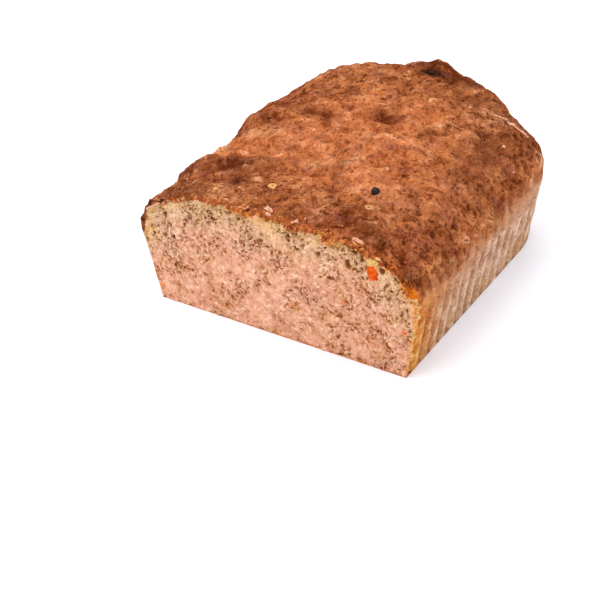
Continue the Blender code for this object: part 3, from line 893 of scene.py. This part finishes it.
# %% Crumbs along the torn edge
CRUMB_SIZE = 0.46
ON_CRUST, ON_CUT, ON_SIDE = 130, 110, 38
edge_x = rng.uniform(-30, 57, ON_CRUST)
edge_y = CUT_Y / MM + 3.2 * rng.random(ON_CRUST) ** 1.6
edge_tone = rng.uniform(0.30, 0.62, ON_CRUST) - 0.30 * ramp(edge_x, 40, 50)


def picked(wanted, count):
    """Random points of the cut's face, from those that are wanted, as places along x and z."""
    chosen = crumb_face[wanted]
    return chosen[rng.choice(len(chosen), count, replace=False)][:, AHEAD] / MM


ragged = bumps(sheet, 0.0030, 131) > 0.0
top_places = picked(ragged & (from_crust > 0.0002) & (from_crust < 0.0020), ON_CUT)
top_tone = rng.uniform(0.25, 0.70, ON_CUT) - 0.20 * ramp(top_places[:, 0], 30, 50)
top_tone -= 0.50 * ramp(-top_places[:, 0], 42, 50)
right_strip = (sheet_x > 0.050) & (from_edge < 0.0013) & (sheet_z < 0.036) & (sheet_z > 0.003)
side_places = picked(ragged & right_strip, ON_SIDE)
side_tone = rng.uniform(0.62, 0.92, ON_SIDE)
crumb_seats = on_cut(np.concatenate([top_places, side_places]))
crumb_seats = both(on_dome(np.stack([edge_x, edge_y], axis=-1)), crumb_seats)
count = ON_CRUST + ON_CUT + ON_SIDE
crumb_sizes = CRUMB_SIZE * rng.uniform(0.5, 1.9, (count, 3))
crumb_bits = scatter_lumps(
    "edge_crumbs", lump_grid(11, 7, 0.9), crumb_seats, crumb_sizes,
    rng.uniform(0, math.pi, count), 0.30, 0.8, 109,
    held(np.concatenate([edge_tone, top_tone, side_tone])),
)

# %% The peppercorn
PEPPER = ((25.6, -31.6, 1.7, 1.7, 1.8),)
pepper_grid = lump_grid(97, 65, 1.0)
wrinkles = 1.0 - 0.22 * np.abs(bumps(pepper_grid, 0.60, 111)) ** 0.6
wrinkles -= 0.08 * np.abs(bumps(pepper_grid, 0.28, 112))
pepper_grid *= wrinkles[..., None]
pepper_sizes = [row[2:5] for row in PEPPER]
pepper_piece = scatter_lumps(
    "peppercorn", pepper_grid, on_dome(PEPPER), pepper_sizes, np.zeros(1), -0.30, 0.05, 113
)

# %% Rings of baked-in onion
RINGS = ((-10.3, -44.4, 1.2, 0.0, 0.0), (28.0, -40.0, 1.1, 0.5, 0.8), (10.9, 39.0, 1.5, 0.3, 0.5))
RINGS = np.array(RINGS)
RING_SHAPE, RING_THICKNESS = (1.0, 0.82, 0.45), 0.62


def ring_grid(around, through, thin):
    """A unit ring: radius 1 round the middle, and a cross-section of radius thin."""
    u = np.linspace(0, 2 * math.pi, around)[None, :]
    v = np.linspace(0, 2 * math.pi, through)[:, None]
    reach = 1.0 + thin * np.cos(v)
    grid = np.stack([reach * np.cos(u), reach * np.sin(u), thin * np.sin(v) + 0 * u], axis=-1)
    grid[:, -1], grid[-1] = grid[:, 0], grid[0]
    return grid


ring_piece = scatter_lumps(
    "onion_rings", ring_grid(41, 17, RING_THICKNESS), on_dome(RINGS), RINGS[:, 2:3] * RING_SHAPE,
    RINGS[:, 3], 0.10, 0.25, 117, RINGS[:, 4],
)

# %% [markdown]
# ## Finishes
#
# Colours are picked as they look on a screen and turned into the light values that the renderer counts
# in. Three effects are shared by several finishes, so each is built once as a node group: *mottle*, soft
# blotches between two limits, *grain*, small pores with a height and a tone, and *ledges*, low terraces
# with edges. Where a finish paints pores or ledge edges dark, that is painted shade. A surface gets its
# colour from a row of eight tones, laid along the sum of several noises, and then layers of single
# colours, each through a mask.
# Sizes of patterns are in millimetres, and every pattern has a seed of its own.

# %% Colours and node helpers
def paint(red, green, blue):
    """A screen colour of 0 to 255 as linear light: ((c + 0.055) / 1.055)^2.4 above the toe."""
    share = np.array([red, green, blue]) / 255.0
    linear = np.where(share > 0.04045, ((share + 0.055) / 1.055) ** 2.4, share / 12.92)
    return (*linear.tolist(), 1.0)


open_tree = None


def work_in(tree):
    """Opens a node tree: the helpers below add their nodes to the one that is open."""
    global open_tree
    open_tree = tree


def feed(node, feeds):
    """Gives a node's inputs their numbers, or links them to what other nodes put out."""
    for socket, value in feeds.items():
        if isinstance(value, bpy.types.NodeSocket):
            open_tree.links.new(value, node.inputs[socket])
        else:
            node.inputs[socket].default_value = value


def add_node(kind, feeds, **settings):
    """Adds a node, sets its choices and feeds its inputs."""
    made = open_tree.nodes.new("ShaderNode" + kind)
    for key, value in settings.items():
        setattr(made, key, value)
    feed(made, feeds)
    return made


def attribute(name):
    """The number that a mesh carries at each point."""
    return add_node("Attribute", {}, attribute_name=name).outputs["Fac"]


# %% Sums and steps
def worked_out(operation, *terms, clamp=False):
    """The terms joined from left to right by one kind of sum."""
    result = terms[0]
    for term in terms[1:]:
        made = add_node("Math", {0: result, 1: term}, operation=operation, use_clamp=clamp)
        result = made.outputs[0]
    return result


def plus(*terms, clamp=False):
    """All the terms added."""
    return worked_out("ADD", *terms, clamp=clamp)


def times(*terms):
    """All the terms multiplied."""
    return worked_out("MULTIPLY", *terms)


def swing(value, share):
    """How far a value from 0 to 1 is from its middle, times a share."""
    return times(plus(value, -0.5), share)


def between(value, low, high, start=0.0, end=1.0):
    """An S-shaped step from start to end as the value goes from low to high."""
    feeds = {"Value": value, "From Min": low, "From Max": high, "To Min": start, "To Max": end}
    return add_node("MapRange", feeds, interpolation_type="SMOOTHSTEP").outputs["Result"]


# %% Layers of colour
TONE_PLACES = (0.153, 0.286, 0.426, 0.574, 0.714, 0.847)


def laid_over(below, colour, mask):
    """A colour laid over another as far as the mask says."""
    return add_node("Mix", {0: mask, 6: below, 7: colour}, data_type="RGBA").outputs[2]


def layered(colour, *layers):
    """Screen colours laid over a colour in turn, each by a mask and, where it has one, a share."""
    for shade, mask, *share in layers:
        colour = laid_over(colour, paint(*shade), times(mask, *share))
    return colour


def graded(value, colours):
    """Eight screen colours, from dark to light, laid along a value at even shares of its swing."""
    made = add_node("ValToRGB", {0: value})
    row = made.color_ramp
    row.elements[0].color = paint(*colours[0])
    row.elements[1].color = paint(*colours[-1])
    for place, colour in zip(TONE_PLACES, colours[1:-1]):
        row.elements.new(place).color = paint(*colour)
    return made.outputs[0]


# %% The mottle group
def new_group(name, inputs, outputs):
    """Opens a new node group with named number inputs and outputs: it and its two end nodes."""
    tree = bpy.data.node_groups.new(name, "ShaderNodeTree")
    for label, value in inputs.items():
        socket = tree.interface.new_socket(label, in_out="INPUT", socket_type="NodeSocketFloat")
        socket.default_value = value
    for label in outputs:
        tree.interface.new_socket(label, in_out="OUTPUT", socket_type="NodeSocketFloat")
    work_in(tree)
    return tree, tree.nodes.new("NodeGroupInput").outputs, tree.nodes.new("NodeGroupOutput")


def cloudy(given, detail, ragged=0.0, later=0.0):
    """Soft noise on the object's own coordinates, with the seed as its fourth one."""
    where = add_node("TexCoord", {}).outputs["Object"]
    seed = plus(given["Seed"], later) if later else given["Seed"]
    feeds = {"Vector": where, "W": seed, "Scale": given["Scale"], "Detail": detail, "Distortion": ragged}
    return add_node("TexNoise", feeds, noise_dimensions="4D").outputs["Fac"]


mottle, given, result = new_group(
    "mottle", {"Scale": 200.0, "Seed": 0.0, "Low": 0.4, "High": 0.6}, ["Mask"]
)
feed(result, {"Mask": between(cloudy(given, 3.0), given["Low"], given["High"])})

# %% The grain group
PORE_LEVEL, PORE_LEVEL_SHARE, PORE_SOFTNESS = 0.68, -0.20, 0.045
TONE_LOW, TONE_HIGH, TONE_LATER = 0.34, 0.66, 7.3
grain, given, result = new_group(
    "grain", {"Scale": 700.0, "Seed": 0.0, "Plenty": 0.5, "Ragged": 0.6}, ["Pores", "Height", "Tone"]
)
pore_level = plus(times(given["Plenty"], PORE_LEVEL_SHARE), PORE_LEVEL)
swells = cloudy(given, 3.0, given["Ragged"])
open_pore = between(swells, pore_level, plus(pore_level, PORE_SOFTNESS))
tone = between(cloudy(given, 2.0, later=TONE_LATER), TONE_LOW, TONE_HIGH)
feed(result, {"Pores": open_pore, "Height": worked_out("SUBTRACT", tone, open_pore), "Tone": tone})

# %% The ledges group
LEDGE_START, EDGE_GAIN, KEPT_LOW, KEPT_HIGH = 0.70, 4.0, 0.46, 0.60
ledges, given, result = new_group(
    "ledges", {"Scale": 160.0, "Seed": 0.0, "Steps": 7.0, "Ragged": 0.8}, ["ShadedEdge", "Height"]
)
climb = times(cloudy(given, 2.5, given["Ragged"]), given["Steps"])
share = add_node("Math", {0: climb}, operation="FRACT").outputs[0]
rise = between(share, LEDGE_START, 1.0)
# The edge is where a terrace rises; the crust paints it dark as painted shade.
edge = times(rise, worked_out("SUBTRACT", 1.0, rise), EDGE_GAIN)
kept = between(cloudy(given, 1.0), KEPT_LOW, KEPT_HIGH)
stairs = worked_out("DIVIDE", plus(worked_out("SUBTRACT", climb, share), rise), given["Steps"])
feed(result, {"ShadedEdge": times(edge, kept), "Height": stairs})
print("node groups:", mottle.name, grain.name, "and", ledges.name)

# %% Placing a group in a material
def placed(group, size, *values):
    """A group in the open tree: a pattern of about a size, and its other inputs in their order."""
    made = add_node("Group", {}, node_tree=group)
    feed(made, dict(enumerate((1 / (MM * size), *values))))
    return made.outputs


def blotches(size, seed, low=0.3, high=0.7):
    """Soft blotches, between two limits of the noise."""
    return placed(mottle, size, seed, low, high)["Mask"]


def patchy(name, size, seed, low, high):
    """A baked-in mask of the mesh, broken up by soft blotches."""
    return times(attribute(name), blotches(size, seed, low, high))


def bumpy(height, distance, strength=1.0):
    """The normal of a surface with a height, which stands out by up to a distance."""
    feeds = {"Height": height, "Strength": strength, "Distance": MM * distance}
    return add_node("Bump", feeds).outputs["Normal"]


def new_material(name):
    """A material, opened, and its Principled shader."""
    made = bpy.data.materials.new(name)
    made.use_nodes = True
    work_in(made.node_tree)
    return made, made.node_tree.nodes["Principled BSDF"]


# %% [markdown]
# ## The crust's finish
#
# Baked mince is golden brown on the crown and russet at the flanks and ends, with dark smears where fat
# has scorched and paler streaks where it stayed soft. Its pits, pores and ledge edges are painted
# red-brown and dark, and its high places lighter than its low ones: painted shade and light. Two pale
# streaks on the crown are painted highlights. Close to the cut a torn, crumbly edge shows. The walls
# stayed pinkish tan and more orange towards the cut; their grooves are painted darker and their ridges
# lighter, as painted shade and highlights. One material holds both, because the browning fades into the
# wall along a ragged line.

# %% Tones of the baked skin
GOLDEN = (
    (150, 60, 6), (170, 86, 42), (186, 100, 55), (200, 114, 67),
    (214, 126, 76), (224, 137, 86), (240, 162, 116), (252, 190, 150),
)
RUSSET = (
    (84, 20, 0), (108, 40, 4), (130, 61, 22), (150, 79, 40),
    (168, 94, 52), (186, 110, 65), (206, 131, 84), (240, 176, 136),
)
crust_finish, shader = new_material("baked_crust")
coarse = placed(grain, 3.6, 1, 0.36, 0.15)
fine_grain = placed(grain, 1.7, 6, 0.44, 0.1)
tiny = placed(grain, 0.8, 9, 0.40, 0.0)
terraces = placed(ledges, 7.5, 16, 6, 0.3)
wide, middling, small = blotches(6.5, 10), blotches(3.0, 2), blotches(1.2, 3)
crust_tone = plus(swing(wide, 0.38), swing(middling, 0.36), swing(small, 0.28))
# The rise mask: painted light on high crust and painted shade on low crust.
crust_tone = plus(crust_tone, swing(attribute("rise"), 0.45), 0.51)
browning = plus(attribute("brown"), swing(blotches(5.5, 11), 0.5), clamp=True)

# %% Layers of the baked skin
baked_colour = layered(
    laid_over(graded(crust_tone, GOLDEN), graded(crust_tone, RUSSET), browning),
    ((166, 92, 72), blotches(7.0, 41, 0.50, 0.66), 0.45),
    ((218, 132, 68), blotches(6.0, 42, 0.54, 0.68), 0.40),
    ((146, 100, 60), blotches(3.4, 43, 0.62, 0.72), 0.50),
    ((222, 150, 104), patchy("pale", 3.0, 4, 0.35, 0.60)),
    ((94, 33, 7), patchy("scorch", 4.0, 5, 0.22, 0.46), 0.95),
    # Pores and ledge edges painted dark: painted shade in the crust's hollows.
    ((101, 36, 4), times(coarse["Pores"], plus(times(browning, 0.38), 0.38))),
    ((116, 48, 16), terraces["ShadedEdge"], 0.30),
    ((103, 37, 3), times(fine_grain["Pores"], plus(times(browning, 0.40), 0.40))),
    ((236, 164, 116), tiny["Pores"], 0.28),
    # The pits painted dark red-brown: painted shade in them.
    ((98, 36, 4), attribute("pit"), 0.60),
    ((148, 90, 58), patchy("dull", 4.2, 51, 0.30, 0.56), 0.46),
    ((238, 176, 134), blotches(1.6, 7, 0.68, 0.76)),
)
crumbly = layered(
    paint(164, 76, 34),
    ((214, 118, 62), fine_grain["Tone"]),
    ((90, 32, 6), blotches(2.6, 49, 0.53, 0.63), 0.85),
    ((238, 128, 34), blotches(2.2, 50, 0.57, 0.66), 0.75),
    ((216, 168, 78), blotches(2.8, 48, 0.57, 0.66), 0.75),
    # Pores of the torn edge painted dark: painted shade in them.
    ((84, 30, 8), coarse["Pores"], 0.9),
)
charred = times(between(attribute("burnt"), 0.50, 0.95), blotches(1.6, 53, 0.40, 0.54))
baked_colour = layered(
    laid_over(baked_colour, crumbly, patchy("torn", 2.2, 44, 0.34, 0.56)),
    ((78, 42, 26), patchy("burnt", 3.0, 8, 0.22, 0.40)),
    ((26, 19, 18), charred, 0.95),
)

# %% Wall of the tray side
WALL_TONES = (
    (126, 64, 24), (150, 92, 54), (166, 110, 75), (180, 128, 97),
    (193, 145, 114), (205, 162, 131), (219, 180, 151), (235, 202, 176),
)
FRONT_WALL_TONES = (
    (124, 40, 0), (148, 60, 2), (166, 78, 8), (182, 94, 22),
    (200, 114, 36), (214, 132, 54), (230, 162, 86), (246, 198, 132),
)
height_up, groove_mask = attribute("height"), attribute("groove")
sharper = between(height_up, 0.30, 0.55, 1.0, 0.40)
# Ridges painted lighter and grooves darker: painted highlights on the ridges, painted shade in the
# grooves.
ridge = times(between(groove_mask, 0.0, 0.34, 1.0, 0.0), sharper)
furrow_shade = times(between(groove_mask, 0.45, 0.95), sharper)
wall_tone = plus(swing(wide, 0.30), swing(middling, 0.20), swing(small, 0.16))
wall_tone = plus(wall_tone, times(ridge, 0.19), times(furrow_shade, -0.28), 0.64)
by_the_cut = attribute("near_cut")
away = worked_out("SUBTRACT", 1.0, by_the_cut)
low_wall = between(height_up, 0.03, 0.26, 1.0, 0.0)
wall_colour = layered(
    laid_over(graded(wall_tone, WALL_TONES), graded(wall_tone, FRONT_WALL_TONES), by_the_cut),
    ((176, 116, 96), times(blotches(8.0, 11, 0.50, 0.66), away), 0.50),
    ((206, 162, 96), times(low_wall, blotches(8.0, 12, 0.45, 0.6)), 0.42),
    ((206, 132, 84), between(height_up, 0.34, 0.56), 0.60),
    # Pores of the wall painted dark: painted shade in them.
    ((140, 78, 40), placed(grain, 1.6, 13, 0.40, 0.6)["Pores"], 0.5),
)

# %% Finish the skin
skin_colour = layered(
    laid_over(wall_colour, baked_colour, attribute("baked")),
    ((242, 176, 116), patchy("amber", 1.4, 46, 0.40, 0.54)),
    ((240, 122, 12), patchy("orange", 1.3, 45, 0.37, 0.54)),
)
skin_height = plus(
    fine_grain["Height"], times(tiny["Tone"], 0.4), times(middling, 1.6),
    times(coarse["Pores"], -1.2), times(small, 0.6), times(terraces["Height"], 3.0),
)
feed(shader, {
    "Base Color": skin_colour,
    "Normal": bumpy(skin_height, 0.5),
    "Roughness": between(blotches(5.0, 15, 0.55, 0.7), 0.0, 1.0, 0.75, 0.50),
    "Coat Weight": times(blotches(2.2, 47, 0.58, 0.72), 0.22),
    "Specular IOR Level": 0.03,
    "Coat Roughness": 0.30,
})
print(crust_finish.name, "has", len(crust_finish.node_tree.nodes), "nodes")

# %% [markdown]
# ## The crumb's finish
#
# The cut is peach and tan, pinker in the middle and yellower towards the crust, with pale specks. The
# brown in the gaps between the strands of mince and the dark of its pits and holes are painted shade,
# and raised crumb is painted lighter than low crumb, as painted light. Under the crust lies a
# straw-coloured band of fat, orange in places, and along the very edge runs a brown, crumbly rind,
# darkest at the left. The lower right edge is a light orange line.

# %% Crumb of the cut
MEAT_TONES = (
    (126, 55, 0), (168, 96, 42), (196, 135, 96), (213, 154, 123),
    (227, 168, 139), (239, 182, 153), (250, 198, 170), (255, 216, 190),
)
crumb_finish, shader = new_material("cut_crumb")
crumbs = placed(grain, 2.2, 24, 0.40, 0.2)
specks = placed(grain, 1.4, 29, 0.50, 0.2)
wide, middling, small = blotches(5.2, 21), blotches(1.7, 22), blotches(1.0, 23)
lively = times(plus(swing(middling, 0.66), swing(small, 0.70)), attribute("loose"))
# The tone mask: painted light on raised crumb and painted shade on low crumb.
meat_tone = plus(lively, swing(wide, 0.26), swing(attribute("tone"), 0.30), 0.445)
light_meat = between(meat_tone, -0.05, 0.34)
near_crust = between(attribute("from_crust"), 0.15, 0.90, 1.0, 0.0)
# Brown in the gaps between the strands of mince: painted shade.
shaded_gaps = times(crumbs["Pores"], attribute("loose"))
meat = layered(
    graded(meat_tone, MEAT_TONES),
    ((234, 168, 140), times(blotches(8.0, 24, 0.40, 0.62), light_meat), 0.40),
    ((226, 178, 122), times(blotches(4.2, 25, 0.52, 0.68), light_meat), 0.28),
    ((240, 203, 146), times(near_crust, light_meat), 0.44),
    ((255, 222, 188), specks["Pores"], 0.54),
    ((146, 76, 12), shaded_gaps, 0.58),
    # Pits and holes painted dark brown: painted shade in them.
    ((124, 58, 0), attribute("pit"), 0.90),
)

# %% The edge of the cut
straw = layered(paint(180, 132, 58), ((240, 200, 120), specks["Tone"]))
crumbly = layered(
    paint(158, 72, 30),
    ((206, 116, 62), specks["Tone"]),
    ((216, 160, 80), blotches(2.4, 38, 0.52, 0.64), 0.7),
    ((100, 48, 22), blotches(1.8, 39, 0.54, 0.64), 0.85),
)
side_rind = between(attribute("from_edge"), 0.025, 0.065, 1.0, 0.0)
meat = laid_over(meat, straw, times(patchy("fat", 2.6, 26, 0.40, 0.60), 0.66))
meat = layered(
    laid_over(meat, crumbly, attribute("rind")),
    ((112, 50, 24), attribute("left_rind"), 0.72),
    ((246, 130, 16), patchy("orange", 1.3, 36, 0.33, 0.52)),
    ((112, 56, 30), between(attribute("from_crust"), 0.006, 0.028, 1.0, 0.0), 0.8),
    ((246, 178, 100), times(side_rind, attribute("side")), 0.80),
)
feed(shader, {
    "Base Color": meat,
    "Normal": bumpy(plus(lively, times(specks["Tone"], 0.20), times(shaded_gaps, -0.25)), 0.6),
    "Roughness": between(blotches(2.0, 28, 0.5, 0.7), 0.0, 1.0, 0.62, 0.45),
    "Specular IOR Level": 0.04,
})
print(crumb_finish.name, "has", len(crumb_finish.node_tree.nodes), "nodes")

# %% Finishes of the bits
def bit_finish(name, light, dark, faded, roughness, size, seed):
    """Two colours in blotches and a third for faded bits, with a fine grain, for a small piece.

    Where faded is eight colours, the bit's number picks one of them.
    """
    made, shader = new_material(name)
    colour = laid_over(paint(*light), paint(*dark), blotches(size, seed, 0.4, 0.62))
    if len(faded) == len(TONE_PLACES) + 2:
        own_colour = graded(attribute("faded"), faded)
        colour = laid_over(own_colour, colour, blotches(size, seed + 0.3, 0.62, 0.80))
    else:
        colour = laid_over(colour, paint(*faded), attribute("faded"))
    texture = placed(grain, size * 0.6, seed + 0.5, 0.35, 0.4)
    feed(shader, {
        "Base Color": colour,
        "Normal": bumpy(texture["Height"], 0.2, 0.5),
        "Roughness": roughness,
        "Specular IOR Level": 0.08,
    })
    return made


CRUMB_COLOURS = (
    (74, 32, 10), (108, 50, 20), (144, 70, 34), (174, 90, 48),
    (206, 118, 60), (212, 160, 92), (222, 176, 118), (240, 198, 146),
)
PALE_COLOURS = (
    (240, 192, 166), (234, 178, 148), (224, 160, 124), (212, 146, 102),
    (204, 144, 96), (212, 166, 110), (218, 174, 108), (222, 176, 106),
)
carrot_finish = bit_finish("carrot", (234, 98, 12), (196, 66, 4), (226, 142, 96), 0.50, 1.8, 31)
crumb_bit_finish = bit_finish("crumbs", (186, 96, 48), (130, 58, 24), CRUMB_COLOURS, 0.60, 1.2, 36)
herb_finish = bit_finish("herb", (158, 118, 70), (120, 86, 46), (120, 92, 52), 0.60, 1.0, 32)
pale_finish = bit_finish("pale_bits", (232, 180, 148), (216, 150, 114), PALE_COLOURS, 0.40, 1.0, 33)
pepper_finish = bit_finish("pepper", (64, 52, 47), (30, 24, 22), (40, 34, 34), 0.60, 1.0, 34)
onion_finish = bit_finish("onion", (222, 168, 116), (216, 152, 62), (196, 136, 98), 0.42, 2.0, 35)

# %% [markdown]
# ## Dressing the frame
#
# Each piece gets its finish, rides on the one body and stands for the imported solid, which is hidden.

# %% Ride on the body
for piece, finish, slot in (
    (crust_piece, crust_finish, "crust"),
    (crumb_piece, crumb_finish, "crumb"),
    (carrot_piece, carrot_finish, "carrot"),
    (herb_piece, herb_finish, "herb"),
    (pale_piece, pale_finish, "pale_bits"),
    (ring_piece, onion_finish, "pale_bits"),
    (crumb_bits, crumb_bit_finish, "crust"),
    (pepper_piece, pepper_finish, "pepper"),
):
    piece.data.materials.append(finish)
    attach(piece, "root")
    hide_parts("pate_loaf")
    print(piece.name, "wears", finish.name)

# %% [markdown]
# ## The studio
#
# The loaf stands on a plain white floor that glows faintly, so that its shadow stays soft. The
# whole sky glows too, a wide lamp hangs above and behind on the left, a smaller one fills in from
# the front left, and a third stands far out on the right.

# %% Floor
FLOOR_REACH, FLOOR_COLOUR, FLOOR_ROUGHNESS = 4.0, (0.92, 0.93, 0.955, 1.0), 0.9
FLOOR_GLOW, FLOOR_GLOW_STRENGTH = (0.60, 0.76, 1.0, 1.0), 0.22
corners = FLOOR_REACH * np.array(((-1, -1, 0), (1, -1, 0), (1, 1, 0), (-1, 1, 0)))
floor_mesh = bpy.data.meshes.new("floor")
floor_mesh.from_pydata(corners.tolist(), [], [(0, 1, 2, 3)])
floor = bpy.data.objects.new("floor", floor_mesh)
bpy.context.scene.collection.objects.link(floor)
floor_finish, shader = new_material("floor")
feed(shader, {
    "Base Color": FLOOR_COLOUR,
    "Roughness": FLOOR_ROUGHNESS,
    "Emission Color": FLOOR_GLOW,
    "Emission Strength": FLOOR_GLOW_STRENGTH,
})
floor_mesh.materials.append(floor_finish)

# %% Sky and lamps
SKY_STRENGTH, WHITE = 0.655, (1.0, 1.0, 1.0, 1.0)
LAMP_TARGET = (0.0, 0.0, 0.03)
LAMPS = (
    ("key", (-0.38, 0.22, 0.80), 1.2, 5.6),
    ("front", (-0.28, -0.68, 0.66), 0.7, 3.6),
    ("right", (0.90, 0.10, 0.45), 0.7, 3.4),
)
world = bpy.data.worlds.new("studio")
bpy.context.scene.world = world
world.use_nodes = True
feed(world.node_tree.nodes["Background"], {"Color": WHITE, "Strength": SKY_STRENGTH})
for name, place, width, power in LAMPS:
    data = bpy.data.lights.new(name, "AREA")
    data.size = width
    data.energy = power
    lamp = bpy.data.objects.new(name, data)
    bpy.context.scene.collection.objects.link(lamp)
    aim = (Vector(LAMP_TARGET) - Vector(place)).to_track_quat("-Z", "Y")
    lamp.matrix_world = Matrix.Translation(place) @ aim.to_matrix().to_4x4()
bpy.context.scene.view_settings.view_transform = "Standard"
